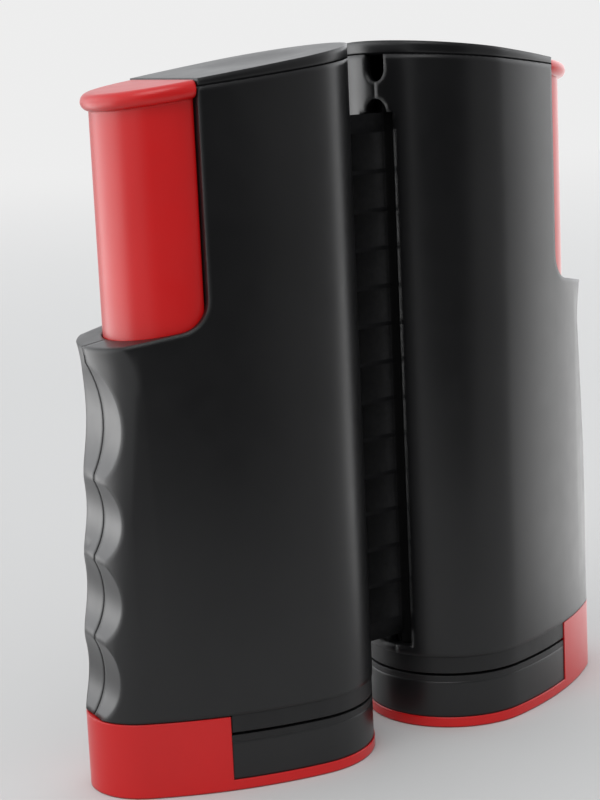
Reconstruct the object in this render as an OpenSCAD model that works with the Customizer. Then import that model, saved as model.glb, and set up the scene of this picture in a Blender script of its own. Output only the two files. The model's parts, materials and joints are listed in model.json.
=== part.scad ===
// Retractable table tennis net, wound in: two spring clamp posts and the net reel between them.
// Each post has its own frame: x runs outward from the rounded inner end, y to the front, z up.

/* [Post outline] */
// Radius of the rounded inner end, half the post's width
nose_r = 24; // [22:0.5:27]
// Radius of the narrow outer end at the foot
end_r = 15.5; // [13:0.5:18]
// Thickness of the housing wall
wall = 2.2; // [1.6:0.1:3]
// Thickness of the wall between reel chamber and slider
partition = 2; // [1.6:0.1:3]
// Room for the screw bosses between reel and partition
screw_row = 7.3; // [7:0.1:10]
// Depth of the grip behind the slider at the foot
grip_depth = 11; // [10:0.5:14]

/* [Heights] */
// Thickness of the red base plate
plate_t = 2.7; // [2:0.1:5]
// Thickness of the block on the base plate
jaw_block_t = 10.2; // [6:0.1:14]
// Thickness of the rubber pad on that block
jaw_pad_t = 1.6; // [1.4:0.1:3]
// Gap between the closed jaw pads
jaw_gap = 0.8; // [0.5:0.1:3]
// Thickness of the rubber pad under the housing
table_pad_t = 4.6; // [3:0.1:8]
// Height of the net channel
channel_h = 151.4; // [140:0.2:170]
// Thickness of the housing floor
floor_t = 2.2; // [1.6:0.1:4]
// Thickness of the plate above the net channel
ceiling_t = 3.2; // [2.4:0.1:5]
// Height of the head above the net channel at the inner end
head_h = 11.4; // [9:0.1:16]
// Fall of the cap seam from inner end to slider
seam_drop = 5.2; // [2:0.1:6]
// Cap thickness at the inner end
cap_nose_t = 3.5; // [3:0.1:6]
// Cap thickness at the slider
cap_cut_t = 2; // [1.6:0.1:4]

/* [Cap] */
// Radius of the shallow dish in the cap
dish_r = 15; // [8:0.5:18]
// Depth of the dish
dish_depth = 0.9; // [0.4:0.1:1.2]
// Height of the locating rim under the cap
rim_h = 2; // [1:0.1:3]
// Thickness of the locating rim
rim_t = 1.2; // [0.8:0.1:2]

/* [Net channel] */
// Clear width of the net slot
slot_w = 7.2; // [5:0.2:9]
// Radius of the rounded slot lips
bead_r = 2.6; // [2.2:0.1:3.5]
// Width of the notch in the head
notch_w = 6.4; // [4:0.2:9]
// Height of the notch floor above the ceiling plate
notch_rise = 1; // [0.5:0.1:3]

/* [Grip] */
// Height of the grip, from the housing floor to the pocket
grip_h = 96.2; // [91:0.2:103]
// Lean of the grip towards the top, in degrees
grip_lean = 3.6; // [0:0.1:5]
// Radius of the grip's end in plan
grip_r = 20; // [18:0.5:23]
// Distance from one finger crest to the next
finger_pitch = 20.6; // [18:0.2:23]
// Depth of the finger scallops
finger_depth = 3; // [1.5:0.1:3.6]
// Length of the top scallop, below the lip
top_scallop = 26.4; // [22:0.2:28]
// Height trimmed off the crests between fingers
crest_trim = 0.4; // [0.2:0.1:0.6]
// Setback of the crests from the grip's end
crest_set = 1; // [0.5:0.1:2]
// Width of the groove where the shells part on the grip
parting_w = 0.6; // [0.4:0.1:1]
// Depth of that groove
parting_depth = 0.8; // [0.7:0.1:1.2]
// Radius of the flare under the lip
flare_r = 40; // [28:1:60]
// Height over which the lip flares out
flare_h = 12; // [8:0.5:16]
// Slope of the pocket floor, in degrees
pocket_slope = 10; // [4:0.5:14]
// Fillet between pocket floor and pocket wall
pocket_fillet = 8; // [4:0.5:12]

/* [Slider and jaw] */
// Radius of the half-round column
column_r = 18.5; // [16:0.5:19]
// Wall of the column
column_t = 2.8; // [2:0.1:3.5]
// Thickness of the push flange
flange_t = 4.4; // [3:0.1:6]
// Step from cap top down to the flange
flange_step = 0.3; // [0.1:0.1:1]
// Setback of the flange rim from the housing side
flange_set = 0.2; // [0:0.1:1]
// Thickness of the web at the column's foot
column_web = 5; // [4:0.5:8]
// Distance of the jaw screws from the middle plane
jaw_screw_v = 8; // [6:0.5:10]
// Distance of the jaw screws from the column's flat side
jaw_screw_u = 8; // [6:0.5:10]

/* [Pad grooves] */
// Width of the grooves in the pads' gripping faces
groove_w = 1.2; // [0.6:0.1:2]
// Depth of these grooves
groove_depth = 0.5; // [0.2:0.1:0.8]
// Distance from one groove to the next
groove_pitch = 4; // [3:0.1:6]
// Margin between the grooves and the pad's edge
groove_margin = 3; // [2:0.5:5]

/* [Jaw spring] */
// Length of the jaw spring at rest
spring_len = 110; // [100:1:114]
// Mean radius of the jaw spring
spring_r = 4.8; // [4:0.1:5]
// Wire radius of the jaw spring
wire_r = 0.6; // [0.4:0.05:0.8]
// Turns of the jaw spring
spring_turns = 17; // [12:1:22]
// Distance of the spring axis from the column's flat side
spring_u = 6.8; // [6.4:0.1:8]
// Radius of the guide rod
rod_r = 2.5; // [1.5:0.1:3]
// Height of the guide rod above the seat
rod_h = 46; // [30:1:50]
// Depth of the guide rod's socket in the seat
rod_socket = 4.5; // [3:0.5:6]

/* [Reel and net] */
// Radius of the reel's side discs
reel_r = 15.8; // [14:0.1:17]
// Thickness of the side discs
disc_t = 1.5; // [1:0.1:2.5]
// Outer radius of the reel tube
tube_r = 7; // [6.6:0.1:8]
// Wall of the reel tube
tube_t = 1.15; // [0.9:0.05:1.4]
// Length of the plug spigots in the tube
spigot_h = 10; // [6:0.5:14]
// Radius of the reel axle
axle_r = 2; // [1.5:0.1:2.5]
// Thickness of the net
net_t = 0.5; // [0.3:0.05:0.8]
// Step from one turn of the wound net to the next
roll_pitch = 1; // [0.95:0.05:1.4]
// Turns of the wound net
roll_turns = 8; // [4:1:8]
// Radius of the bar in the net's end
bar_r = 4.2; // [3.9:0.1:4.4]
// Radius of the bar's end pins
pin_r = 2; // [1.5:0.1:2.5]
// Mesh opening of the net
mesh = 4; // [3:0.1:8]
// Width of the net's strands
strand = 1.1; // [0.8:0.1:2]
// Height of the bands along the net's edges
band_h = 6; // [4:0.5:12]

/* [Rewind spring] */
// Mean radius of the rewind spring
rewind_r = 3.9; // [3.4:0.1:4.2]
// Wire radius of the rewind spring
rewind_wire = 0.4; // [0.3:0.05:0.5]
// Turns of the rewind spring
rewind_turns = 24; // [14:1:26]
// Height of the spring anchor
anchor_h = 7; // [5:0.5:9]

/* [Fasteners] */
// Radius of the screw heads
head_r = 2.6; // [2.2:0.1:3]
// Height of the screw heads
screw_head_h = 2.2; // [1.6:0.1:3]
// Radius of the screw shanks
shank_r = 1.45; // [1.2:0.05:1.6]
// Radius of the screw bosses
boss_r = 3.6; // [3.3:0.1:3.8]
// Length of the shell screws
shell_screw_l = 18; // [14:1:22]
// Depth of the shell screws' seats from the parting plane
shell_seat = 12; // [10:0.5:14]
// Length of the grip screws
grip_screw_l = 12; // [10:1:13]
// Depth of the grip screws' seats from the parting plane
grip_seat = 5; // [4.5:0.5:7]
// Height of the lowest shell screw above the floor
screw_low = 25; // [15:1:35]
// Height from one shell screw to the next
screw_step = 55; // [40:1:60]
// Length of the jaw screws
jaw_screw_l = 10; // [9.5:0.5:11]
// Wall between slider channel and grip screws
grip_screw_wall = 3.2; // [2.6:0.1:4]
// Radius of the pad studs
stud_r = 2.5; // [1.5:0.1:3]
// Distance of the pad studs from the pads' ends
nose_stud_u = 10; // [8:0.5:12]
// Distance of the pad studs from the middle plane
nose_stud_v = 13; // [8:0.5:14]

/* [Placement] */
// Gap between the two posts' inner ends
post_gap = 10.6; // [9:0.1:14]
// Sideways offset of the right post's inner end
post_offset = -0.7; // [-2:0.1:2]
// Turn of the right post, in degrees
right_yaw = 19.6; // [0:0.2:25]
// Distance of the frame's origin from the left inner end
origin_u = 40; // [30:1:45]

/* [Clearances] */
// Gap round the sliding column
run_gap = 0.35; // [0.3:0.05:0.5]
// Gap round pins and shafts that turn
pin_gap = 0.05; // [0.03:0.01:0.08]
// Gap round fixed inserts
fit_gap = 0.05; // [0.02:0.01:0.1]
// Gap round soft pieces
soft_gap = 0.35; // [0.3:0.05:0.5]
// End play of the reel and the net bar
end_play = 0.1; // [0.05:0.05:0.3]
// Setback of the pads from the housing side
pad_set = 0.25; // [0.1:0.05:0.6]

/* [Hidden] */
$fn = 96;

black = [0.13, 0.13, 0.14];
rubber = [0.09, 0.09, 0.1];
red = [0.8, 0.06, 0.06];
steel = [0.72, 0.73, 0.75];
grey = [0.45, 0.46, 0.48];
net_black = [0.1, 0.12, 0.12];

// Reach of cutting shapes, and the overlap of pieces that are joined
far = 400;
joint = 0.5;
lap = 0.05;

// Plan: the throat is where the table edge stops
throat = nose_r + reel_r + screw_row + partition;
chamber_u = throat - partition;
column_u = throat + run_gap;
hole_r = column_r + run_gap;
post_len = column_u + hole_r + grip_depth;
end_u = post_len - end_r;
side_r = ((end_u - nose_r) ^ 2 / (nose_r - end_r) + nose_r + end_r) / 2;
side_v = side_r - nose_r;

// Heights
z_jaw_pad = plate_t + jaw_block_t;
z_jaw = z_jaw_pad + jaw_pad_t;
z_table = z_jaw + jaw_gap;
z_body = z_table + table_pad_t;
z_floor = z_body + floor_t;
z_slot = z_body + channel_h;
z_tray = z_slot + ceiling_t;
z_seam = z_slot + head_h;
z_cap = z_seam + cap_nose_t;
z_block = z_body - run_gap;
z_pocket = z_body + grip_h;
cap_fall = seam_drop + cap_nose_t - cap_cut_t;
cap_slope = atan(cap_fall / throat);
z_flange = z_cap - cap_fall - flange_step;
flange_r = half_width(column_u) - flange_set;
z_flange_low = z_flange - flange_r * sin(cap_slope) - flange_t;

// Net slot lips
bead_v = slot_w / 2 + bead_r;
bead_u = nose_r - sqrt((nose_r - bead_r) ^ 2 - bead_v ^ 2);

// Screws: distance from the inner end and height, with clear holes and head recesses
hole_gap = 0.25;
clear_r = shank_r + hole_gap;
recess_r = head_r + hole_gap;
tip_h = 2;
boss_sink = 0.8;
boss_u = chamber_u - boss_r + boss_sink;
shell_screws_at = [for (k = [0 : 2]) [boss_u, z_floor + screw_low + k * screw_step]];
valley_u = -crest_set - finger_depth;
scallops_at = concat(
    [for (k = [0 : 2]) [valley_u + scallop_r(finger_pitch), finger_pitch * (k + 0.5)]],
    [[valley_u + scallop_r(top_scallop), 3 * finger_pitch + top_scallop / 2]]
);
scallop_radii = [for (length = [finger_pitch, finger_pitch, finger_pitch, top_scallop]) scallop_r(length)];
grip_screws_at = [for (k = [1, 2]) [column_u + hole_r + grip_screw_wall, z_body + k * finger_pitch]];
jaw_screws_at = [for (s = [-1, 1]) [column_u + jaw_screw_u, s * jaw_screw_v]];
z_jaw_seat = z_block + column_web - joint - jaw_screw_l;

// Pad studs: a pair under the reel and a pair near the throat
studs_at = [for (s = [-1, 1], p = [[nose_stud_u, nose_stud_v], [throat - nose_stud_u, nose_stud_v]])
    [p[0], s * p[1]]];

// Jaw spring between the bracket in the housing and the perch under the flange
spring_x = column_u + spring_u;
perch_drop = 2;
perch_r = spring_r + 2 * wire_r;
spigot_r = spring_r - 2 * wire_r;
perch_spigot = 6;
z_perch = z_flange_low - perch_drop;
z_seat = z_perch - spring_len;
bracket_u = spring_x + spring_r + 2 * wire_r;
bracket_w = 2 * (spring_r + 2 * wire_r);
bracket_t = 5;
bracket_leg = 16;

// Reel
hub_h = 0.6;
hub_r = tube_r / 2;
z_reel = z_floor + end_play;
z_reel_top = z_slot - end_play;
z_disc = z_reel + hub_h;
z_tube = z_disc + disc_t;
z_disc_top = z_reel_top - hub_h;
z_tube_top = z_disc_top - disc_t;
tube_in = tube_r - tube_t;
edge_gap = 0.8;
z_net = z_tube + edge_gap;
z_net_top = z_tube_top - edge_gap;
net_h = z_net_top - z_net;
roll_start = tube_r + fit_gap + net_t / 2;
roll_r = roll_start + roll_turns * roll_pitch + net_t / 2;
anchor_gap = 1;
anchor_r = tube_in - anchor_gap;
anchor_step = 1.5;
z_anchor = z_tube_top - spigot_h - anchor_gap - anchor_h;
z_rewind = z_tube + spigot_h + end_play;

// Net end bar in the right post, seen from the left post's frame
bar_u = bead_u + sqrt((bead_r + bar_r + soft_gap) ^ 2 - bead_v ^ 2);
bar_at = [-post_gap - bar_u * cos(right_yaw), -post_offset - bar_u * sin(right_yaw)];
arch_u = min(bead_u, bar_u - bar_r - soft_gap);

// Route of the net: off the roll, round one slot lip and straight to the bar
roll_at = [nose_r, 0];
lip_at = [bead_u, bead_v];
run_r = roll_r + soft_gap + net_t / 2;
lip_r = bead_r + soft_gap + net_t / 2;
lip_vec = lip_at - roll_at;
leave_a = atan2(lip_vec[1], lip_vec[0]) - acos((run_r + lip_r) / norm(lip_vec));
leave_at = roll_at + run_r * [cos(leave_a), sin(leave_a)];
meet_a = leave_a + 180;
meet_at = lip_at + lip_r * [cos(meet_a), sin(meet_a)];
bar_vec = bar_at - lip_at;
part_a = atan2(bar_vec[1], bar_vec[0]) + 360 + acos(lip_r / norm(bar_vec));
part_at = lip_at + lip_r * [cos(part_a), sin(part_a)];
span_vec = bar_at - part_at;
span_a = atan2(span_vec[1], span_vec[0]);
span_len = norm(span_vec) - pin_r - soft_gap;
mesh_step = mesh + strand;
mesh_from = lip_r;
mesh_cols = floor((span_len - bar_r + pin_r - mesh_from) / mesh_step);
mesh_rows = floor((net_h - 2 * band_h + strand) / mesh_step);
mesh_low = (net_h - mesh_rows * mesh_step + strand) / 2;

// Half the post's width at a distance from the inner end
function half_width(u) = u < nose_r
    ? sqrt(nose_r ^ 2 - (u - nose_r) ^ 2)
    : sqrt(side_r ^ 2 - (u - nose_r) ^ 2) - side_v;

// Height of the seam under the cap, of the cap's top and of the pocket floor
function seam_z(u) = z_seam - seam_drop * u / throat;
function cap_z(u) = z_cap - cap_fall * u / throat;
function pocket_z(u) = z_pocket - (u - column_u - hole_r) * tan(pocket_slope);

// Radius of a scallop from its length and depth
function scallop_r(length) = (length ^ 2 / 4 + finger_depth ^ 2) / (2 * finger_depth);

// Rings of six points about a helix, and the faces between them
coil_rings = 8;
coil_sides = 6;
function coil_points(r, wire, z0, z1, turns) = [
    for (k = [0 : coil_rings * turns], s = [0 : coil_sides - 1])
        let (
            a = 360 * k / coil_rings,
            t = 360 * s / coil_sides,
            out = r + wire * cos(t),
            z = z0 + (z1 - z0) * k / (coil_rings * turns)
        )
        [out * cos(a), out * sin(a), z + wire * sin(t)]
];
function coil_faces(turns) =
    let (n = coil_sides, last = n * coil_rings * turns)
    concat(
        [[for (s = [0 : n - 1]) s]],
        [
            for (k = [0 : coil_rings * turns - 1], s = [0 : n - 1], upper = [false, true])
                let (a = n * k + s, b = n * k + (s + 1) % n)
                upper ? [b, a + n, b + n] : [a, a + n, b]
        ],
        [[for (s = [n - 1 : -1 : 0]) last + s]]
    );

// Least gap of a coil to itself, measured on its points one turn apart
function coil_gap(points) =
    let (turn = coil_rings * coil_sides)
    min([
        for (i = [0 : len(points) - turn - 1], s = [0 : coil_sides - 1])
            let (j = i - i % coil_sides + turn + s)
            norm(points[i] - points[j])
    ]);

jaw_coil = coil_points(spring_r, wire_r, z_seat + wire_r, z_perch - wire_r, spring_turns);
rewind_coil = coil_points(
    rewind_r, rewind_wire, z_rewind + rewind_wire, z_anchor - rewind_wire, rewind_turns
);
echo(jaw_spring_gap = coil_gap(jaw_coil), rewind_spring_gap = coil_gap(rewind_coil));
echo(net_roll_gap = roll_pitch - net_t);

// Moves a piece of the left or right post to its place
module place(side) {
    if (side == "left")
        translate([origin_u, 0, 0]) rotate([0, 0, 180]) children();
    else
        translate([origin_u + post_gap, post_offset, 0]) rotate([0, 0, right_yaw]) mirror([0, 1, 0])
            children();
}

// Egg outline of the post in plan, drawn in by inset
module outline(inset = 0) {
    tip_u = end_u + (end_r - inset) * (end_u - nose_r) / (side_r - end_r);
    translate([nose_r, 0]) circle(nose_r - inset);
    translate([end_u, 0]) circle(end_r - inset);
    intersection() {
        translate([nose_r, -side_v]) circle(side_r - inset);
        translate([nose_r, side_v]) circle(side_r - inset);
        translate([nose_r, -far / 2]) square([tip_u - nose_r, far]);
    }
}

// The outline's part up to a distance from the inner end, or beyond it
module inner_outline(u, inset = 0) {
    intersection() {
        outline(inset);
        translate([-far, -far / 2]) square([far + u, far]);
    }
}
module outer_outline(u) {
    intersection() {
        outline();
        translate([u, -far / 2]) square([far, far]);
    }
}

// Profile drawn in distance and height, as a slab across the post
module side_slab(width = far) {
    rotate([90, 0, 0]) linear_extrude(width, center = true) children();
}

// Cylinder across the post at a distance and height
module cross_pin(at, r, v0, v1) {
    translate([at[0], v0, at[1]]) rotate([-90, 0, 0]) cylinder(r = r, h = v1 - v0);
}

// Upright cylinder at a place in plan
module upright(at, r, z0, z1) {
    translate([at[0], at[1], z0]) cylinder(r = r, h = z1 - z0);
}

// Frame of the leaning grip: z runs up its end, and the end is at x = 0
module grip_frame() {
    translate([post_len, 0, z_body]) rotate([0, -grip_lean, 0]) children();
}

// Space inside the leaning, rounded end of the grip and the flare of its lip
module grip_end() {
    flare_from = grip_h - flare_h;
    inner_w = far - grip_r;
    grip_frame() {
        translate([-far, -far / 2, -far / 2]) cube([inner_w, far, far]);
        translate([-grip_r, 0, -grip_h]) cylinder(r = grip_r, h = grip_h + flare_from);
        translate([-grip_r, 0, flare_from]) rotate_extrude() difference() {
            square([grip_r + flare_h, 2 * flare_h]);
            translate([grip_r + flare_r, 0]) circle(flare_r);
        }
    }
}

// Finger scallops, with the crests between them trimmed
module finger_scallops() {
    first_z = scallops_at[0][1];
    last_z = scallops_at[3][1];
    grip_frame() {
        for (k = [0 : 3]) cross_pin(scallops_at[k], scallop_radii[k], -nose_r, nose_r);
        translate([-crest_set - crest_trim, -nose_r, first_z])
            cube([2 * finger_depth, 2 * nose_r, last_z - first_z]);
    }
}

// Groove along the parting line, under the fingers
module parting_groove() {
    grip_frame() for (k = [0 : 3])
        cross_pin(scallops_at[k], scallop_radii[k] + parting_depth, -parting_w / 2, parting_w / 2);
}

// Side profile of the grip, with the sloping pocket floor and its fillet
module grip_profile() {
    hub = [throat + pocket_fillet, pocket_z(throat + pocket_fillet) + pocket_fillet / cos(pocket_slope)];
    floor_end = hub - pocket_fillet * [sin(pocket_slope), cos(pocket_slope)];
    polygon([
        [throat - joint, z_body],
        [2 * post_len, z_body],
        [2 * post_len, pocket_z(2 * post_len)],
        [throat - joint, pocket_z(throat - joint)]
    ]);
    difference() {
        polygon([[throat - joint, hub[1]], [throat - joint, z_body], [floor_end[0], z_body], floor_end, hub]);
        translate(hub) circle(pocket_fillet);
    }
}

// Housing before it is hollowed: the upright body and the grip
module housing_block() {
    intersection() {
        linear_extrude(2 * z_cap) inner_outline(throat);
        side_slab() polygon([
            [-nose_r, z_body],
            [throat, z_body],
            [throat, seam_z(throat)],
            [-nose_r, seam_z(-nose_r)]
        ]);
    }
    difference() {
        intersection() {
            linear_extrude(2 * z_cap) outline();
            side_slab() grip_profile();
            grip_end();
        }
        finger_scallops();
        parting_groove();
    }
}

// Spaces in the housing: reel chamber, tray under the cap, slider channel, net slot and notch
module housing_spaces() {
    translate([0, 0, z_floor]) linear_extrude(z_slot - z_floor) inner_outline(chamber_u, wall);
    translate([0, 0, z_tray]) linear_extrude(z_cap - z_tray) inner_outline(chamber_u, wall);
    linear_extrude(2 * z_cap) intersection() {
        translate([column_u, 0]) circle(hole_r);
        translate([throat, -far / 2]) square([far, far]);
    }
    translate([-nose_r, -bead_v, z_floor]) cube([nose_r + bead_u, 2 * bead_v, z_slot - z_floor]);
    z_notch = z_tray + notch_rise + notch_w / 2;
    translate([-nose_r, 0, z_notch]) rotate([0, 90, 0]) cylinder(d = notch_w, h = nose_r + 2 * wall);
    translate([-nose_r, -notch_w / 2, z_notch]) cube([nose_r + 2 * wall, notch_w, z_cap]);
}

// Rounded lips of the net slot, and the arch that joins them
module slot_lips() {
    for (s = [-1, 1]) upright([bead_u, s * bead_v], bead_r, z_body, z_slot + joint);
    z_arch = z_slot - slot_w / 2;
    difference() {
        intersection() {
            translate([0, 0, z_arch]) linear_extrude(slot_w / 2 + joint) inner_outline(arch_u);
            translate([-nose_r, -bead_v, 0]) cube([far, 2 * bead_v, far]);
        }
        translate([-nose_r, 0, z_arch]) rotate([0, 90, 0]) cylinder(d = slot_w, h = 2 * nose_r);
    }
}

// Screw bosses and the spring bracket, inside the housing
module housing_inserts() {
    boss_v = half_width(throat) - joint;
    for (at = shell_screws_at) cross_pin(at, boss_r, -boss_v, boss_v);
    side_slab(bracket_w) polygon([
        [throat - joint, z_seat],
        [bracket_u, z_seat],
        [bracket_u, z_seat - bracket_t],
        [throat - joint, z_seat - bracket_leg]
    ]);
}

// Holes in the housing: screws, guide rod, reel axle, net bar and pad studs
module housing_holes() {
    for (at = shell_screws_at) screw_hole(at, shell_seat, shell_screw_l);
    for (at = grip_screws_at) screw_hole(at, grip_seat, grip_screw_l);
    upright([spring_x, 0], rod_r + fit_gap, z_seat - rod_socket, z_seat + joint);
    upright([bar_u, 0], pin_r + pin_gap, z_body - joint, z_tray + joint);
    translate([nose_r, 0, z_body - joint]) cylinder(r = axle_r + fit_gap, h = far, $fn = 6);
    for (at = studs_at) upright(at, stud_r + fit_gap, z_body - joint, z_floor + joint);
}

// Recess and clear hole behind the parting plane, pilot hole before it
module screw_hole(at, seat, length) {
    cross_pin(at, recess_r, -far / 4, -seat);
    cross_pin(at, clear_r, -seat - joint, 0);
    cross_pin(at, shank_r + fit_gap, -joint, length - seat + joint);
}

// Whole housing, before it is parted into two shells
module housing() {
    difference() {
        union() {
            difference() {
                housing_block();
                housing_spaces();
            }
            slot_lips();
            housing_inserts();
        }
        housing_holes();
    }
}

module front_shell(side) {
    color(black) place(side) intersection() {
        housing();
        translate([-far / 2, 0, 0]) cube([far, far, far]);
    }
}

module rear_shell(side) {
    color(black) place(side) intersection() {
        housing();
        translate([-far / 2, -far, 0]) cube([far, far, far]);
    }
}

// Slanted cap with its dish, and the rim that sits in the tray
module top_cap(side) {
    dish_big_r = (dish_r ^ 2 + dish_depth ^ 2) / (2 * dish_depth);
    rim_u = chamber_u - fit_gap;
    rim_in = wall + fit_gap;
    color(black) place(side) {
        difference() {
            intersection() {
                linear_extrude(2 * z_cap) inner_outline(throat);
                side_slab() polygon([
                    [-nose_r, seam_z(-nose_r)],
                    [throat, seam_z(throat)],
                    [throat, cap_z(throat)],
                    [-nose_r, cap_z(-nose_r)]
                ]);
            }
            translate([nose_r, 0, cap_z(nose_r)]) rotate([0, cap_slope, 0])
                translate([0, 0, dish_big_r - dish_depth]) sphere(dish_big_r, $fn = 240);
        }
        intersection() {
            linear_extrude(2 * z_cap) difference() {
                inner_outline(rim_u, rim_in);
                inner_outline(rim_u - rim_t, rim_in + rim_t);
                translate([-nose_r, -notch_w / 2 - rim_t]) square([2 * nose_r, notch_w + 2 * rim_t]);
            }
            side_slab() polygon([
                [-nose_r, seam_z(-nose_r) - rim_h],
                [throat, seam_z(throat) - rim_h],
                [throat, seam_z(throat) + joint],
                [-nose_r, seam_z(-nose_r) + joint]
            ]);
        }
    }
}

// Pan head screw along z, head below the seat at z = 0, with a cross recess
module screw(length) {
    cross_w = head_r / 3;
    cross_l = 4 * cross_w;
    difference() {
        translate([0, 0, -screw_head_h]) cylinder(r = head_r, h = screw_head_h);
        for (a = [0, 90]) rotate([0, 0, a])
            translate([-cross_l / 2, -cross_w / 2, -screw_head_h - joint])
                cube([cross_l, cross_w, screw_head_h / 2 + joint]);
    }
    cylinder(r = shank_r, h = length - tip_h);
    translate([0, 0, length - tip_h]) cylinder(r1 = shank_r, r2 = shank_r / 3, h = tip_h);
}

module shell_screws(side) {
    color(steel) place(side) {
        for (at = shell_screws_at)
            translate([at[0], -shell_seat, at[1]]) rotate([-90, 0, 0]) screw(shell_screw_l);
        for (at = grip_screws_at)
            translate([at[0], -grip_seat, at[1]]) rotate([-90, 0, 0]) screw(grip_screw_l);
    }
}

// Grooves across a pad's gripping face, which lies at z
module pad_grooves(z) {
    translate([0, 0, z - groove_depth]) linear_extrude(2 * groove_depth) intersection() {
        inner_outline(throat - groove_margin, groove_margin);
        for (u = [groove_margin + groove_pitch : groove_pitch : throat - groove_margin - groove_pitch])
            translate([u, -far / 2]) square([groove_w, far]);
    }
}

// Upper jaw pad, with studs in the housing floor
module table_pad(side) {
    color(rubber) place(side) {
        difference() {
            translate([0, 0, z_table]) linear_extrude(table_pad_t) inner_outline(throat, pad_set);
            pad_grooves(z_table);
        }
        for (at = studs_at) upright(at, stud_r, z_body - joint, z_floor - end_play);
    }
}

// Tilted push flange with a full round rim
module flange() {
    translate([column_u, 0, z_flange]) rotate([0, cap_slope, 0]) rotate([0, 0, -90])
        rotate_extrude(angle = 180) {
            translate([0, -flange_t]) square([flange_r - flange_t / 2, flange_t]);
            translate([flange_r - flange_t / 2, -flange_t / 2]) circle(d = flange_t);
        }
}

// Red slider: flange, half-round hollow column, spring perch and the web at its foot
module push_slider(side) {
    color(red) place(side) difference() {
        union() {
            intersection() {
                flange();
                translate([column_u, -far / 2, 0]) cube([far, far, far]);
            }
            intersection() {
                union() {
                    translate([0, 0, z_block]) linear_extrude(z_cap - z_block) difference() {
                        column_outline(column_r);
                        column_outline(column_r - column_t);
                    }
                    upright([spring_x, 0], perch_r, z_perch, z_cap);
                }
                side_slab() polygon([
                    [0, 0],
                    [2 * throat, 0],
                    [2 * throat, z_flange - (2 * throat - column_u) * tan(cap_slope) - flange_t / 2],
                    [0, z_flange + column_u * tan(cap_slope) - flange_t / 2]
                ]);
            }
            upright([spring_x, 0], spigot_r, z_perch - perch_spigot, z_perch + joint);
            translate([0, 0, z_block]) linear_extrude(column_web) column_outline(column_r);
        }
        for (at = jaw_screws_at)
            upright(at, shank_r + fit_gap, z_block - joint, z_block + column_web + joint);
    }
}

// Half disc of the column's section
module column_outline(r) {
    intersection() {
        translate([column_u, 0]) circle(r);
        translate([column_u, -far / 2]) square([far, far]);
    }
}

// Red lower jaw: base plate under the whole post and the block that carries the column
module jaw_foot(side) {
    color(red) place(side) difference() {
        union() {
            linear_extrude(plate_t) outline();
            linear_extrude(z_block) outer_outline(column_u);
        }
        for (at = jaw_screws_at) {
            upright(at, recess_r, -joint, z_jaw_seat);
            upright(at, clear_r, 0, z_block + joint);
        }
        for (at = studs_at) upright(at, stud_r + fit_gap, -joint, plate_t + joint);
    }
}

module jaw_screws(side) {
    color(steel) place(side)
        for (at = jaw_screws_at) translate([at[0], at[1], z_jaw_seat]) screw(jaw_screw_l);
}

// Black block on the base plate, with studs in it
module jaw_block(side) {
    color(black) place(side) {
        translate([0, 0, plate_t]) linear_extrude(jaw_block_t) inner_outline(column_u - fit_gap, pad_set);
        for (at = studs_at) upright(at, stud_r, end_play, plate_t + joint);
    }
}

// Lower jaw pad on that block
module jaw_pad(side) {
    color(rubber) place(side) difference() {
        translate([0, 0, z_jaw_pad]) linear_extrude(jaw_pad_t) inner_outline(column_u - fit_gap, pad_set);
        pad_grooves(z_jaw);
    }
}

module jaw_spring(side) {
    color(steel) place(side) translate([spring_x, 0, 0]) polyhedron(jaw_coil, coil_faces(spring_turns));
}

module spring_rod(side) {
    tip = rod_r / 2;
    color(steel) place(side) {
        upright([spring_x, 0], rod_r, z_seat - rod_socket, z_seat + rod_h - tip);
        translate([spring_x, 0, z_seat + rod_h - tip]) cylinder(r1 = rod_r, r2 = rod_r - tip, h = tip);
    }
}

module left_front_shell() { front_shell("left"); }
module left_rear_shell() { rear_shell("left"); }
module left_top_cap() { top_cap("left"); }
module left_shell_screws() { shell_screws("left"); }
module left_table_pad() { table_pad("left"); }
module left_push_slider() { push_slider("left"); }
module left_jaw_foot() { jaw_foot("left"); }
module left_jaw_screws() { jaw_screws("left"); }
module left_jaw_block() { jaw_block("left"); }
module left_jaw_pad() { jaw_pad("left"); }
module left_jaw_spring() { jaw_spring("left"); }
module left_spring_rod() { spring_rod("left"); }

module right_front_shell() { front_shell("right"); }
module right_rear_shell() { rear_shell("right"); }
module right_top_cap() { top_cap("right"); }
module right_shell_screws() { shell_screws("right"); }
module right_table_pad() { table_pad("right"); }
module right_push_slider() { push_slider("right"); }
module right_jaw_foot() { jaw_foot("right"); }
module right_jaw_screws() { jaw_screws("right"); }
module right_jaw_block() { jaw_block("right"); }
module right_jaw_pad() { jaw_pad("right"); }
module right_jaw_spring() { jaw_spring("right"); }
module right_spring_rod() { spring_rod("right"); }

// Tube that the net winds on, slit to take the net's inner edge
module reel_tube() {
    slit = 2 * net_t;
    color(grey) place("left") translate([nose_r, 0, 0]) difference() {
        upright([0, 0], tube_r, z_tube, z_tube_top);
        upright([0, 0], tube_in, z_tube - joint, z_tube_top + joint);
        translate([0, -slit / 2, z_net]) cube([2 * tube_r, slit, net_h]);
    }
}

// End plug: hub, side disc with round windows, and the spigot in the tube
module reel_plug(z_hub, z_side, z_end, z_tip) {
    window_r = (reel_r - tube_r) / 4;
    difference() {
        union() {
            upright([0, 0], hub_r, min(z_hub, z_side), max(z_hub, z_side));
            upright([0, 0], reel_r, min(z_side, z_end), max(z_side, z_end));
            upright([0, 0], tube_in - fit_gap, min(z_end, z_tip), max(z_end, z_tip));
        }
        upright([0, 0], axle_r + pin_gap, 0, far);
        for (a = [0 : 60 : 300]) rotate([0, 0, a]) upright([(reel_r + tube_r) / 2, 0], window_r, 0, far);
    }
}

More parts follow.
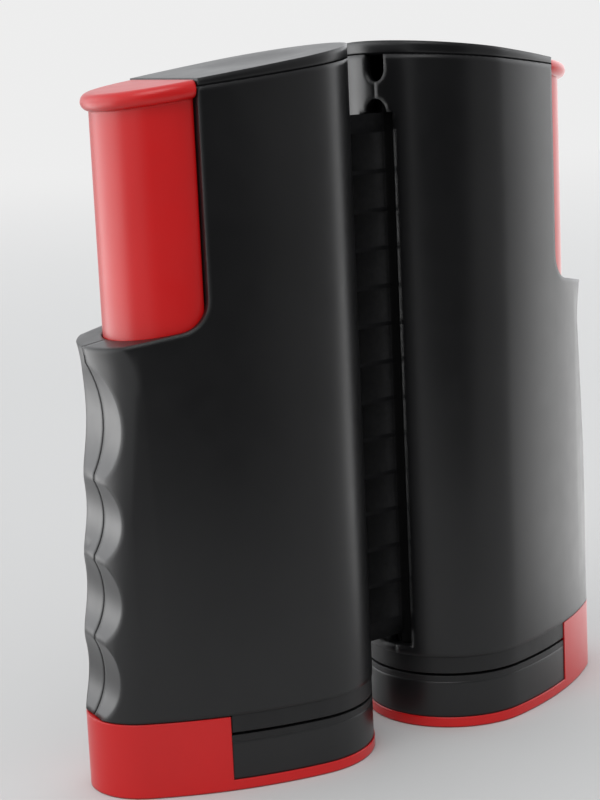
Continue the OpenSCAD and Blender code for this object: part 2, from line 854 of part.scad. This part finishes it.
module reel_bottom_plug() {
    color(grey) place("left") translate([nose_r, 0, 0]) reel_plug(z_reel, z_disc, z_tube, z_tube + spigot_h);
}

module reel_top_plug() {
    color(grey) place("left") translate([nose_r, 0, 0])
        reel_plug(z_reel_top, z_disc_top, z_tube_top, z_tube_top - spigot_h);
}

// Fixed axle: a round rod with six-sided ends held in floor and ceiling
module reel_axle() {
    color(steel) place("left") translate([nose_r, 0, 0]) {
        upright([0, 0], axle_r, z_floor, z_slot);
        translate([0, 0, z_body + end_play]) cylinder(r = axle_r, h = floor_t, $fn = 6);
        translate([0, 0, z_slot - joint]) cylinder(r = axle_r, h = ceiling_t, $fn = 6);
    }
}

module rewind_spring() {
    color(steel) place("left") translate([nose_r, 0, 0]) polyhedron(rewind_coil, coil_faces(rewind_turns));
}

// Collar on the axle that holds the rewind spring's still end
module spring_anchor() {
    color(grey) place("left") translate([nose_r, 0, 0]) difference() {
        union() {
            upright([0, 0], anchor_r, z_anchor, z_anchor + anchor_h / 2);
            upright([0, 0], anchor_r - anchor_step, z_anchor, z_anchor + anchor_h);
        }
        upright([0, 0], axle_r + fit_gap, 0, far);
        translate([0, -rewind_wire, z_anchor - joint])
            cube([2 * anchor_r, 2 * rewind_wire, anchor_h / 4 + joint]);
    }
}

// Half turn of the wound net about a centre
module half_turn(centre, r, upper) {
    translate([centre, 0]) intersection() {
        difference() {
            circle(r + net_t / 2);
            circle(r - net_t / 2);
        }
        translate([-far / 2, upper ? 0 : -far]) square([far, far]);
    }
}

// Wound net: a spiral of half turns, its outer end where the net leaves the roll
module net_roll() {
    color(net_black) place("left") translate([nose_r, 0, z_net]) rotate([0, 0, leave_a])
        linear_extrude(net_h) for (k = [0 : roll_turns - 1]) {
            half_turn(0, roll_start + k * roll_pitch, true);
            half_turn(roll_pitch / 2, roll_start + (k + 0.5) * roll_pitch, false);
        }
}

// Net from the roll round the slot lip, then an open mesh across to the bar
module net_span() {
    color(net_black) place("left") translate([0, 0, z_net]) {
        linear_extrude(net_h) {
            translate(meet_at) rotate(leave_a + 270) translate([-lap, -net_t / 2])
                square([norm(leave_at - meet_at), net_t]);
            intersection() {
                translate(lip_at) difference() {
                    circle(lip_r + net_t / 2);
                    circle(lip_r - net_t / 2);
                }
                polygon([
                    lip_at,
                    lip_at + 2 * lip_r * [cos(meet_a), sin(meet_a)],
                    lip_at + 2 * lip_r * [cos(part_a), sin(part_a)]
                ]);
            }
        }
        translate(part_at) rotate([0, 0, span_a]) rotate([90, 0, 0]) linear_extrude(net_t, center = true)
            difference() {
                translate([-lap, 0]) square([span_len + lap, net_h]);
                for (c = [0 : 1 : mesh_cols - 1], r = [0 : 1 : mesh_rows - 1])
                    translate([mesh_from + c * mesh_step, mesh_low + r * mesh_step]) square(mesh);
            }
    }
}

// Bar in the net's free edge, slit for the net, with pins that turn in the right post
module net_end_bar() {
    slit = net_t + 2 * fit_gap;
    color(grey) place("left") translate(bar_at) rotate([0, 0, span_a + 180]) difference() {
        union() {
            upright([0, 0], bar_r, z_reel, z_reel_top);
            upright([0, 0], pin_r, z_body + end_play, z_tray - end_play);
        }
        translate([pin_r, -slit / 2, z_reel - joint]) cube([bar_r, slit, z_reel_top - z_reel + 2 * joint]);
    }
}

left_front_shell();
left_rear_shell();
left_top_cap();
left_shell_screws();
left_table_pad();
left_push_slider();
left_jaw_foot();
left_jaw_screws();
left_jaw_block();
left_jaw_pad();
left_jaw_spring();
left_spring_rod();
right_front_shell();
right_rear_shell();
right_top_cap();
right_shell_screws();
right_table_pad();
right_push_slider();
right_jaw_foot();
right_jaw_screws();
right_jaw_block();
right_jaw_pad();
right_jaw_spring();
right_spring_rod();
reel_tube();
reel_top_plug();
reel_bottom_plug();
reel_axle();
rewind_spring();
spring_anchor();
net_roll();
net_span();
net_end_bar();
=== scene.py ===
import json
import math

import bmesh
import bpy
from mathutils import Matrix, Vector


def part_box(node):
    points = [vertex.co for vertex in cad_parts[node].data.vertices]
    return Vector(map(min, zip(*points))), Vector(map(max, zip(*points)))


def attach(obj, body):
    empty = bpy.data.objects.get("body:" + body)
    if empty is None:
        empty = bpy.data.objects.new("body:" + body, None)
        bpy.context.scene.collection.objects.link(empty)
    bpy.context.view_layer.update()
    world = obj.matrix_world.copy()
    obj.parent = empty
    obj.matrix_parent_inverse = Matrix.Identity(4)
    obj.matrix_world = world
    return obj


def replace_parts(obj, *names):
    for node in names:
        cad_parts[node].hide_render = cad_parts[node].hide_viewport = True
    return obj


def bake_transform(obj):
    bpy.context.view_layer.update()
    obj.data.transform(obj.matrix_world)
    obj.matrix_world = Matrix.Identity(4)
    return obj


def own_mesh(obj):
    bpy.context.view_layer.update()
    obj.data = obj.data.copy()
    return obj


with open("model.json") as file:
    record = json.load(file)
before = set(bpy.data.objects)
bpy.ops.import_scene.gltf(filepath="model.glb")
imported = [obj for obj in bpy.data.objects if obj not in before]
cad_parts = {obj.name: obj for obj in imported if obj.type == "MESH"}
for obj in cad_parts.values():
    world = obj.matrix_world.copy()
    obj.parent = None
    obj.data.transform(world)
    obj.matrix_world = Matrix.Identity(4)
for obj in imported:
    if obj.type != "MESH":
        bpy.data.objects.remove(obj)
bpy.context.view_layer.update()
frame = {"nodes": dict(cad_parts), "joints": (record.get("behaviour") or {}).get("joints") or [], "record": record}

MM = 0.001
SIDES = ("left", "right")
nodes = frame["nodes"]
node_slot = {sub["node"]: sub["material_slot"] for sub in frame["record"]["subparts"]}
joint_of = {joint["name"]: joint for joint in frame["joints"]}


# Camera, fitted to the photo

CAMERA_AT = Vector((-204.8, -455.2, 188.9)) * MM
CAMERA_YAW = 0.4674
CAMERA_PITCH = -0.1840
CAMERA_ROLL = -0.0462
FOCAL_PX = 1967.8
IMAGE_LONG_PX = 800
SENSOR_MM = 36
CLIP_START = 10 * MM


def make_camera():
    forward = Vector((
        math.sin(CAMERA_YAW) * math.cos(CAMERA_PITCH),
        math.cos(CAMERA_YAW) * math.cos(CAMERA_PITCH),
        math.sin(CAMERA_PITCH),
    ))
    level = Vector((math.cos(CAMERA_YAW), -math.sin(CAMERA_YAW), 0))
    upright = level.cross(forward)
    right = math.cos(CAMERA_ROLL) * level + math.sin(CAMERA_ROLL) * upright
    up = math.cos(CAMERA_ROLL) * upright - math.sin(CAMERA_ROLL) * level
    data = bpy.data.cameras.new("camera")
    data.sensor_width = SENSOR_MM
    data.lens = FOCAL_PX / IMAGE_LONG_PX * SENSOR_MM
    data.clip_start = CLIP_START
    camera = bpy.data.objects.new("camera", data)
    bpy.context.scene.collection.objects.link(camera)
    turn = Matrix((right, up, -forward)).transposed().to_4x4()
    camera.matrix_world = Matrix.Translation(CAMERA_AT) @ turn
    bpy.context.scene.camera = camera


make_camera()


# Node trees

EDGE_SAMPLES = 6
TINT_SPREAD = (0.3, 0.75)


class Graph:
    """Emptied node tree, with short ways to add what it needs."""

    def __init__(self, tree):
        self.tree = tree
        tree.nodes.clear()

    def add(self, kind, **values):
        """New node, with values for its inputs by name."""
        node = self.tree.nodes.new(f"ShaderNode{kind}")
        for name, value in values.items():
            node.inputs[name.replace("_", " ")].default_value = value
        return node

    def join(self, source, socket):
        self.tree.links.new(source, socket)

    def calculate(self, operation, a, b):
        """Result for two sockets, or for a socket and a float."""
        node = self.add("Math")
        node.operation = operation
        for value, socket in zip((a, b), node.inputs):
            if isinstance(value, float):
                socket.default_value = value
            else:
                self.join(value, socket)
        return node.outputs[0]

    def product(self, a, b):
        return self.calculate("MULTIPLY", a, b)

    def opposite(self, share):
        return self.calculate("SUBTRACT", 1.0, share)

    def vector(self, operation, source):
        node = self.add("VectorMath")
        node.operation = operation
        self.join(source, node.inputs[0])
        return node

    def dot(self, source, side):
        node = self.vector("DOT_PRODUCT", source)
        node.inputs[1].default_value = side
        return node.outputs["Value"]

    def remap(self, source, low, high, to=(0.0, 1.0), smooth=False):
        """Value that goes from one limit to the other as the source goes from low to high."""
        node = self.add("MapRange", From_Min=low, From_Max=high, To_Min=to[0], To_Max=to[1])
        if smooth:
            node.interpolation_type = "SMOOTHSTEP"
        self.join(source, node.inputs["Value"])
        return node.outputs[0]

    def towards(self, source, side, edge):
        """0 to 1 towards a side of the room, by direction or by place."""
        return self.remap(self.dot(source, side), *edge, smooth=True)

    def mixed(self, share, first, second):
        node = self.add("MixShader")
        for source, socket in zip((share, first.outputs[0], second.outputs[0]), node.inputs):
            self.join(source, socket)
        return node


class Shader(Graph):
    """Material around a Principled shader, whose fixed inputs are given by name."""

    def __init__(self, name, **fixed):
        self.material = bpy.data.materials.new(name)
        self.material.use_nodes = True
        super().__init__(self.material.node_tree)
        self.out = self.add("OutputMaterial").inputs[0]
        self.shader = self.add("BsdfPrincipled", **fixed)
        self.join(self.shader.outputs[0], self.out)
        self.coords = self.add("TexCoord").outputs["Object"]

    def feed(self, source, socket):
        self.join(source, self.shader.inputs[socket])

    def noise(self, scale, detail, stretch=None):
        node = self.add("TexNoise", Scale=scale, Detail=detail)
        source = self.coords
        if stretch:
            mapping = self.add("Mapping", Scale=stretch)
            self.join(source, mapping.inputs["Vector"])
            source = mapping.outputs[0]
        self.join(source, node.inputs["Vector"])
        return node.outputs["Fac"]

    def tint(self, noise, dark, light, spread=TINT_SPREAD):
        """Base colour that wanders between two tones."""
        node = self.add("ValToRGB")
        for element, place, tone in zip(node.color_ramp.elements, spread, (dark, light)):
            element.position = place
            element.color = (*tone, 1.0)
        self.join(noise, node.inputs[0])
        self.feed(node.outputs["Color"], "Base Color")

    def gloss(self, noise, low, high):
        """Roughness that wanders between two levels."""
        self.feed(self.remap(noise, 0.0, 1.0, (low, high)), "Roughness")

    def round_edges(self, radius):
        node = self.add("Bevel", Radius=radius)
        node.samples = EDGE_SAMPLES
        self.feed(node.outputs[0], "Normal")

    def grain(self, noise, strength, depth):
        """Fine bumps, on top of the rounded edges if there are any."""
        node = self.add("Bump", Strength=strength, Distance=depth)
        self.join(noise, node.inputs["Height"])
        normal = self.shader.inputs["Normal"]
        if normal.is_linked:
            self.join(normal.links[0].from_socket, node.inputs["Normal"])
        self.feed(node.outputs[0], "Normal")


# Materials

BLACK_TONE = 0.005
BLACK_SPREAD = (0.35, 0.7)
BLACK_GLOSS = (0.27, 0.37)
# The net end bar's tone lies far below the other black plastic: painted shade of the slot it stands in
BAR_SHADE_TONE = 0.0012
BAR_GLOSS = (0.7, 0.85)
STEEL_SPREAD = (0.3, 0.8)
FULL_SHINE = 0.5
Z_SEAM = 182.7 * MM
SEAM_DROP = 5.2 * MM
# Band above the seam in which the cap's painted shade fades out
SEAM_SHADE_BAND = (0.35 * MM, 0.6 * MM)
THROAT = 49.1 * MM
RIGHT_YAW = math.radians(19.6)
# Each post's inner end and the way it runs from there, in plan
POSTS = {
    "left": (Vector((40, 0)) * MM, Vector((-1, 0))),
    "right": (Vector((50.6, -0.7)) * MM, Vector((math.cos(RIGHT_YAW), math.sin(RIGHT_YAW)))),
}


def black_plastic(name, edge, tone=BLACK_TONE, gloss=BLACK_GLOSS, **fixed):
    s = Shader(name, **fixed)
    dark = (tone, tone, 1.1 * tone)
    light = (1.45 * tone, 1.45 * tone, 1.55 * tone)
    s.tint(s.noise(scale=30, detail=3), dark, light, BLACK_SPREAD)
    s.gloss(s.noise(scale=160, detail=4), *gloss)
    s.round_edges(edge)
    s.grain(s.noise(scale=2600, detail=2), strength=0.1, depth=0.04 * MM)
    return s


def cap_plastic_seam_shade(side):
    """Black plastic with painted shade along the cap's lower edge: its reflection fades out towards the seam,
    standing in for the shade in the narrow gap between cap and shell.
    """
    s = black_plastic(f"{side}_cap_plastic_seam_shade", edge=1.8 * MM)
    inner_end, along = POSTS[side]
    fall = SEAM_DROP / THROAT
    height = s.dot(s.coords, (fall * along.x, fall * along.y, 1))
    seam = Z_SEAM + fall * along.dot(inner_end)
    low, high = (seam + offset for offset in SEAM_SHADE_BAND)
    # Painted shade: no reflection just above the seam, full reflection above the band
    s.feed(s.remap(height, low, high, (0.0, FULL_SHINE)), "Specular IOR Level")
    return s


def red_plastic():
    s = Shader("red_plastic")
    s.tint(s.noise(scale=24, detail=3), dark=(0.47, 0.0016, 0.002), light=(0.52, 0.0024, 0.003))
    s.gloss(s.noise(scale=140, detail=3), low=0.26, high=0.34)
    s.round_edges(0.7 * MM)
    s.grain(s.noise(scale=1900, detail=2), strength=0.05, depth=0.03 * MM)
    return s


def rubber():
    s = Shader("rubber")
    s.tint(s.noise(scale=60, detail=4), dark=(0.004, 0.004, 0.0045), light=(0.007, 0.007, 0.0075))
    s.gloss(s.noise(scale=220, detail=4), low=0.42, high=0.6)
    s.round_edges(0.4 * MM)
    s.grain(s.noise(scale=1400, detail=3), strength=0.2, depth=0.1 * MM)
    return s


def steel():
    s = Shader("steel", Metallic=1.0)
    dark = (0.50, 0.51, 0.53)
    light = (0.60, 0.61, 0.62)
    s.tint(s.noise(scale=300, detail=3), dark, light, STEEL_SPREAD)
    s.gloss(s.noise(scale=500, detail=3), low=0.24, high=0.4)
    return s


def grey_plastic():
    s = Shader("grey_plastic")
    s.tint(s.noise(scale=40, detail=3), dark=(0.13, 0.135, 0.14), light=(0.16, 0.165, 0.17))
    s.gloss(s.noise(scale=200, detail=3), low=0.38, high=0.5)
    s.grain(s.noise(scale=2200, detail=2), strength=0.1, depth=0.06 * MM)
    return s


def net_cloth():
    s = Shader("net_cloth", Specular_IOR_Level=0.2)
    s.tint(s.noise(scale=900, detail=2), dark=(0.003, 0.003, 0.0035), light=(0.006, 0.006, 0.0065))
    s.gloss(s.noise(scale=700, detail=2), low=0.7, high=0.9)
    s.grain(s.noise(scale=2500, detail=2, stretch=(1, 1, 4)), strength=0.3, depth=0.1 * MM)
    return s


MATERIALS = {
    "black_plastic": black_plastic("black_plastic", edge=1.2 * MM).material,
    "red_plastic": red_plastic().material,
    "rubber": rubber().material,
    "steel": steel().material,
    "grey_plastic": grey_plastic().material,
    "net": net_cloth().material,
}
SHELL_PLASTIC = black_plastic("shell_plastic", edge=2.0 * MM).material
# Painted shade: the bar is darker and less reflective than its own plastic, for the shade in the slot
BAR_SLOT_SHADE_PLASTIC = black_plastic("bar_plastic_slot_shade", 0.8 * MM, BAR_SHADE_TONE, BAR_GLOSS, Specular_IOR_Level=0.15).material
# Nodes whose black plastic differs from that of their slot; the bar's and the caps' carry painted shade
SPECIAL = {"net_end_bar": BAR_SLOT_SHADE_PLASTIC}
for side in SIDES:
    SPECIAL[f"{side}_top_cap"] = cap_plastic_seam_shade(side).material
    SPECIAL[f"{side}_front_shell"] = SHELL_PLASTIC
    SPECIAL[f"{side}_rear_shell"] = SHELL_PLASTIC


# CAD pieces: material and smooth shading up to their creases

CREASE = math.radians(24)
WELD_GAP = 0.002 * MM
WOUND = ("left_jaw_spring", "right_jaw_spring", "rewind_spring", "net_roll", "net_span")


def finish_cad(name):
    piece = nodes[name]
    piece.data.materials.clear()
    piece.data.materials.append(SPECIAL.get(name, MATERIALS[node_slot[name]]))
    weld = piece.modifiers.new("weld", "WELD")
    weld.merge_threshold = WELD_GAP
    creases = piece.modifiers.new("creases", "EDGE_SPLIT")
    creases.split_angle = CREASE
    creases.use_edge_sharp = False
    piece.data.shade_smooth()


for name in nodes:
    if name not in WOUND:
        finish_cad(name)


# Springs

JAW_WIRE = 0.6 * MM
JAW_TURNS = 17
REWIND_WIRE = 0.4 * MM
REWIND_TURNS = 24
CLOSED_TURNS = 1.5
CLOSED_PITCH = 2.1
POINTS_PER_TURN = 28
WIRE_SIDES = 12


def to_mesh(name, form):
    mesh = bpy.data.meshes.new(name)
    form.to_mesh(mesh)
    form.free()
    return mesh


def add_piece(name, mesh, slot, body=None):
    piece = bpy.data.objects.new(name, mesh)
    bpy.context.scene.collection.objects.link(piece)
    mesh.materials.append(MATERIALS[slot])
    mesh.shade_smooth()
    if body:
        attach(piece, body)
    return piece


def wire_mesh(name, points, radius):
    """Closed round wire along points."""
    form = bmesh.new()
    rings = []
    for k, point in enumerate(points):
        ahead = points[min(k + 1, len(points) - 1)] - points[max(k - 1, 0)]
        across = ahead.cross(Vector((0, 0, 1))).normalized()
        over = across.cross(ahead).normalized()
        ring = []
        for s in range(WIRE_SIDES):
            a = 2 * math.pi * s / WIRE_SIDES
            ring.append(form.verts.new(point + radius * (math.cos(a) * across + math.sin(a) * over)))
        rings.append(ring)
    for low, high in zip(rings, rings[1:]):
        for s in range(WIRE_SIDES):
            after = (s + 1) % WIRE_SIDES
            form.faces.new((low[s], low[after], high[after], high[s]))
    form.faces.new(rings[0])
    form.faces.new(list(reversed(rings[-1])))
    bmesh.ops.recalc_face_normals(form, faces=form.faces)
    return to_mesh(name, form)


def coil_route(node, wire, turns):
    """Helix in a spring node's box, with close-wound turns at both ends."""
    low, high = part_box(node)
    centre = (low + high) / 2
    radius = (high.x - low.x) / 2 - wire
    bottom, top = low.z + wire, high.z - wire
    close = CLOSED_PITCH * wire * CLOSED_TURNS
    route = []
    for k in range(turns * POINTS_PER_TURN + 1):
        turn = k / POINTS_PER_TURN
        left = turns - turn
        if turn < CLOSED_TURNS:
            z = bottom + close * turn / CLOSED_TURNS
        elif left < CLOSED_TURNS:
            z = top - close * left / CLOSED_TURNS
        else:
            share = (turn - CLOSED_TURNS) / (turns - 2 * CLOSED_TURNS)
            z = bottom + close + share * (top - bottom - 2 * close)
        a = 2 * math.pi * turn
        route.append(Vector((centre.x + radius * math.cos(a), centre.y + radius * math.sin(a), z)))
    return route


for side in SIDES:
    node = f"{side}_jaw_spring"
    mesh = wire_mesh(f"{side}_spring_wire", coil_route(node, JAW_WIRE, JAW_TURNS), JAW_WIRE)
    spring = add_piece(f"{side}_spring_wire", mesh, "steel", f"{side}_post")
    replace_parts(spring, node)
    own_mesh(spring)

mesh = wire_mesh("rewind_wire", coil_route("rewind_spring", REWIND_WIRE, REWIND_TURNS), REWIND_WIRE)
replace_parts(add_piece("rewind_wire", mesh, "steel", "left_post"), "rewind_spring")


# Net

NOSE_R = 24 * MM
LIP_R = 2.6 * MM
SLOT_HALF = 3.6 * MM
LIP_STEPS = 10
NET_T = 0.15 * MM
NET_GAP = 0.4 * MM
# How deep the net sits in the bar, how far to the front of it, and its room under the slot's arch
NET_GRIP = 1.8 * MM
NET_SIDE = 0.8 * MM
ARCH_ROOM = 0.8 * MM
BAND = 5 * MM
CELL = 10 * MM
CORD = 1.1 * MM
NET_STRANDS = 168
ROLL_TURNS = 8
ROLL_STEPS_PER_TURN = 48

reel_low, reel_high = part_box("reel_tube")
roll_low, roll_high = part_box("net_roll")
span_low, span_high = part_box("net_span")
bar_low, bar_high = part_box("net_end_bar")
reel_at = ((reel_low + reel_high) / 2).xy
bar_at = ((bar_low + bar_high) / 2).xy
reel_tube_r = (reel_high.x - reel_low.x) / 2
bar_r = (bar_high.x - bar_low.x) / 2
roll_r = max(abs(c - reel_at.x) for c in (roll_low.x, roll_high.x))
net_low, net_high = span_low.z, span_high.z - ARCH_ROOM
pull = joint_of["net_pull"]["range_m"][1]


def polar(centre, radius, angle):
    return centre + radius * Vector((math.cos(angle), math.sin(angle)))


def net_route():
    """Plan route of the net, off the roll and round the slot's lip, and the angle where it leaves."""
    lip_side = SLOT_HALF + LIP_R
    lip_in = math.sqrt((NOSE_R - LIP_R) ** 2 - lip_side ** 2)
    lip = reel_at + Vector((lip_in, -lip_side))
    around = LIP_R + NET_GAP
    off = roll_r + NET_GAP
    gap = lip - reel_at
    leave = math.atan2(gap.y, gap.x) - math.acos((off + around) / gap.length)
    to_bar = bar_at - lip
    part = math.atan2(to_bar.y, to_bar.x) + math.acos(around / to_bar.length)
    meet = leave + math.pi
    while part > meet:
        part -= 2 * math.pi
    turns = [meet + (part - meet) * k / LIP_STEPS for k in range(LIP_STEPS + 1)]
    return [polar(reel_at, off, leave)] + [polar(lip, around, turn) for turn in turns], leave


def net_rows():
    """Bands along both edges and cords between them, as (height, solid above it)."""
    inner = net_high - net_low - 2 * BAND
    count = round(inner / CELL)
    rows = [(net_low, True)]
    for k in range(count):
        low = net_low + BAND + inner * k / count
        high = net_low + BAND + inner * (k + 1) / count
        rows.append((low + (CORD / 2 if k else 0), False))
        rows.append((high - (CORD / 2 if k < count - 1 else 0), True))
    return rows + [(net_high, True)]


def net_piece(name, columns, body=None):
    """Net of upright columns of (place, solid after it), and its flat size."""
    rows = net_rows()
    form = bmesh.new()
    grid = [[form.verts.new((p.x, p.y, z)) for z, _ in rows] for p, _ in columns]
    for i in range(len(columns) - 1):
        for j in range(len(rows) - 1):
            if columns[i][1] or rows[j][1]:
                form.faces.new((grid[i][j], grid[i + 1][j], grid[i + 1][j + 1], grid[i][j + 1]))
    bmesh.ops.delete(form, geom=[v for v in form.verts if not v.link_faces], context="VERTS")
    piece = add_piece(name, to_mesh(name, form), "net", body)
    solid = piece.modifiers.new("thickness", "SOLIDIFY")
    solid.thickness = NET_T
    solid.offset = 0
    length = sum((b[0] - a[0]).length for a, b in zip(columns, columns[1:]))
    return piece, (net_high - net_low, length)


def make_net_roll():
    """Wound net as one spiral sheet, its outer end where the net leaves it."""
    _, leave = net_route()
    inner = reel_tube_r + NET_T
    step = (roll_r - NET_T / 2 - inner) / ROLL_TURNS
    columns = []
    for k in range(ROLL_TURNS * ROLL_STEPS_PER_TURN + 1):
        turn = k / ROLL_STEPS_PER_TURN
        angle = leave + 2 * math.pi * (turn - ROLL_TURNS)
        columns.append((polar(reel_at, inner + step * turn, angle), True))
    roll, flat = net_piece("net_roll_cloth", columns, "reel")
    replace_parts(roll, "net_roll")


def make_net_span():
    """Net from the slot's lip to the bar, its upright strands bunched by the inverse of a smooth step."""
    route, _ = net_route()
    start = route[-1]
    end = bar_at + (start - bar_at).normalized() * (bar_r - NET_GRIP) - Vector((0, NET_SIDE))
    half = CORD / pull / 2
    columns = [(p, True) for p in route[:-1]]
    for k in range(NET_STRANDS + 1):
        for edge, solid in ((-half, True), (half, False)):
            share = min(max(k / NET_STRANDS + edge, 0), 1)
            # Inverse of a smooth step
            along = 0.5 - math.sin(math.asin(1 - 2 * share) / 3)
            columns.append((start.lerp(end, along), solid))
    span, flat = net_piece("net_mesh", columns)
    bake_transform(span)
    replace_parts(span, "net_span")


make_net_roll()
make_net_span()


# Floor and light

FLOOR_HALF = 60.0
FLOOR_CELLS = 8
FLOOR_DROP = 0.2 * MM
FLOOR_DARK = (0.51, 0.51, 0.505)
FLOOR_LIGHT = (0.54, 0.54, 0.535)
FLOOR_ROUGH = 0.7
FLOOR_FADE = (0.5, 2.5)
PALE = 0.85
WHITE = (1, 1, 1, 1)
ROOM_COLOUR = (0.97, 0.98, 1.0, 1)
ROOM_LIGHT = 0.95
# Sides of the room: direction, soft edge, reach on the floor, strength on the floor and in the room
WINDOW_SIDE = (-0.77, 0.64, 0.0)
WINDOW_EDGE = (0.68, 0.94)
WINDOW_REACH = (0.15, 0.4)
WINDOW_GLOW = 3.4
WINDOW_LIGHT = 1.5
PANEL_SIDE = (0.94, 0.34, 0.0)
PANEL_EDGE = (0.7, 0.92)
PANEL_REACH = (0.08, 0.25)
PANEL_GLOW = 1.9
PANEL_LIGHT = 1.4
DIM_SIDE = (0.174, -0.985, 0.0)
DIM_EDGE = (0.17, 0.52)
DIM_REACH = (0.1, 0.45)
DIM_GLOW = 0.34
DIM_SHARE = 0.62
DARK_SIDE = (-0.375, -0.927, 0.0)
DARK_EDGE = (0.68, 0.88)
DARK_SHARE = 0.9
KEY_FROM = Vector((-0.5, -0.45, 1.0))
KEY_ENERGY = 0.9
KEY_ANGLE = math.radians(40)


def floor_material():
    """Pale floor that fades into the surround; reflections see its front dim and two sides bright."""
    s = Shader("floor", Roughness=FLOOR_ROUGH)
    s.tint(s.noise(scale=0.8, detail=2), FLOOR_DARK, FLOOR_LIGHT)
    rays = s.add("LightPath").outputs
    heading = s.vector("NORMALIZE", s.coords).outputs["Vector"]
    unlit = s.product(s.towards(heading, DIM_SIDE, DIM_EDGE), s.towards(s.coords, DIM_SIDE, DIM_REACH))
    dark = s.towards(heading, DARK_SIDE, DARK_EDGE)
    panel = s.towards(heading, PANEL_SIDE, PANEL_EDGE)
    window = s.towards(heading, WINDOW_SIDE, WINDOW_EDGE)

    panel_glow = s.product(s.product(panel, s.opposite(unlit)), PANEL_GLOW)
    glow = s.calculate("ADD", panel_glow, s.product(window, WINDOW_GLOW))
    dim_glow = s.product(s.opposite(dark), DIM_GLOW)
    mirrored = s.add("Emission")
    s.join(s.calculate("MAXIMUM", glow, dim_glow), mirrored.inputs["Strength"])

    panel = s.product(panel, s.towards(s.coords, PANEL_SIDE, PANEL_REACH))
    window = s.product(window, s.towards(s.coords, WINDOW_SIDE, WINDOW_REACH))
    share = s.calculate("MAXIMUM", unlit, s.calculate("MAXIMUM", panel, window))
    ground = s.mixed(s.product(share, rays["Is Glossy Ray"]), s.shader, mirrored)

    distance = s.vector("LENGTH", s.coords).outputs["Value"]
    fade = s.remap(distance, *FLOOR_FADE, smooth=True)
    pale = s.add("Emission", Strength=PALE)
    seen = s.mixed(s.product(fade, rays["Is Camera Ray"]), ground, pale)
    s.join(seen.outputs[0], s.out)
    return s.material


def make_floor():
    form = bmesh.new()
    bmesh.ops.create_grid(form, x_segments=FLOOR_CELLS, y_segments=FLOOR_CELLS, size=FLOOR_HALF)
    mesh = to_mesh("floor", form)
    mesh.materials.append(floor_material())
    floor = bpy.data.objects.new("floor", mesh)
    floor.location.z = -FLOOR_DROP
    bpy.context.scene.collection.objects.link(floor)


def make_world():
    """Room with a window on the left and a pale panel on the right; reflections see its front dim."""
    world = bpy.data.worlds.new("studio")
    bpy.context.scene.world = world
    world.use_nodes = True
    g = Graph(world.node_tree)
    rays = g.add("LightPath").outputs
    heading = g.add("TexCoord").outputs["Generated"]
    window = g.product(g.towards(heading, WINDOW_SIDE, WINDOW_EDGE), WINDOW_LIGHT)
    panel = g.product(g.towards(heading, PANEL_SIDE, PANEL_EDGE), PANEL_LIGHT)
    lit = g.calculate("ADD", g.calculate("ADD", window, panel), ROOM_LIGHT)
    dim = g.product(g.towards(heading, DIM_SIDE, DIM_EDGE), DIM_SHARE)
    dark = g.product(g.towards(heading, DARK_SIDE, DARK_EDGE), DARK_SHARE)
    clear = g.product(g.opposite(dim), g.opposite(dark))
    unlit = g.product(g.opposite(clear), rays["Is Glossy Ray"])
    room = g.add("Background", Color=ROOM_COLOUR)
    g.join(g.product(lit, g.opposite(unlit)), room.inputs["Strength"])
    pale = g.add("Background", Color=WHITE, Strength=PALE)
    seen = g.mixed(rays["Is Camera Ray"], room, pale)
    g.join(seen.outputs[0], g.add("OutputWorld").inputs[0])


def make_key():
    """Large soft light from above, the left and the front."""
    data = bpy.data.lights.new("key", "SUN")
    data.energy = KEY_ENERGY
    data.angle = KEY_ANGLE
    lamp = bpy.data.objects.new("key", data)
    lamp.rotation_mode = "QUATERNION"
    lamp.rotation_quaternion = (-KEY_FROM).to_track_quat("-Z", "Y")
    lamp.location = KEY_FROM
    bpy.context.scene.collection.objects.link(lamp)


make_floor()
make_world()
make_key()

bpy.context.scene.view_settings.view_transform = "Standard"
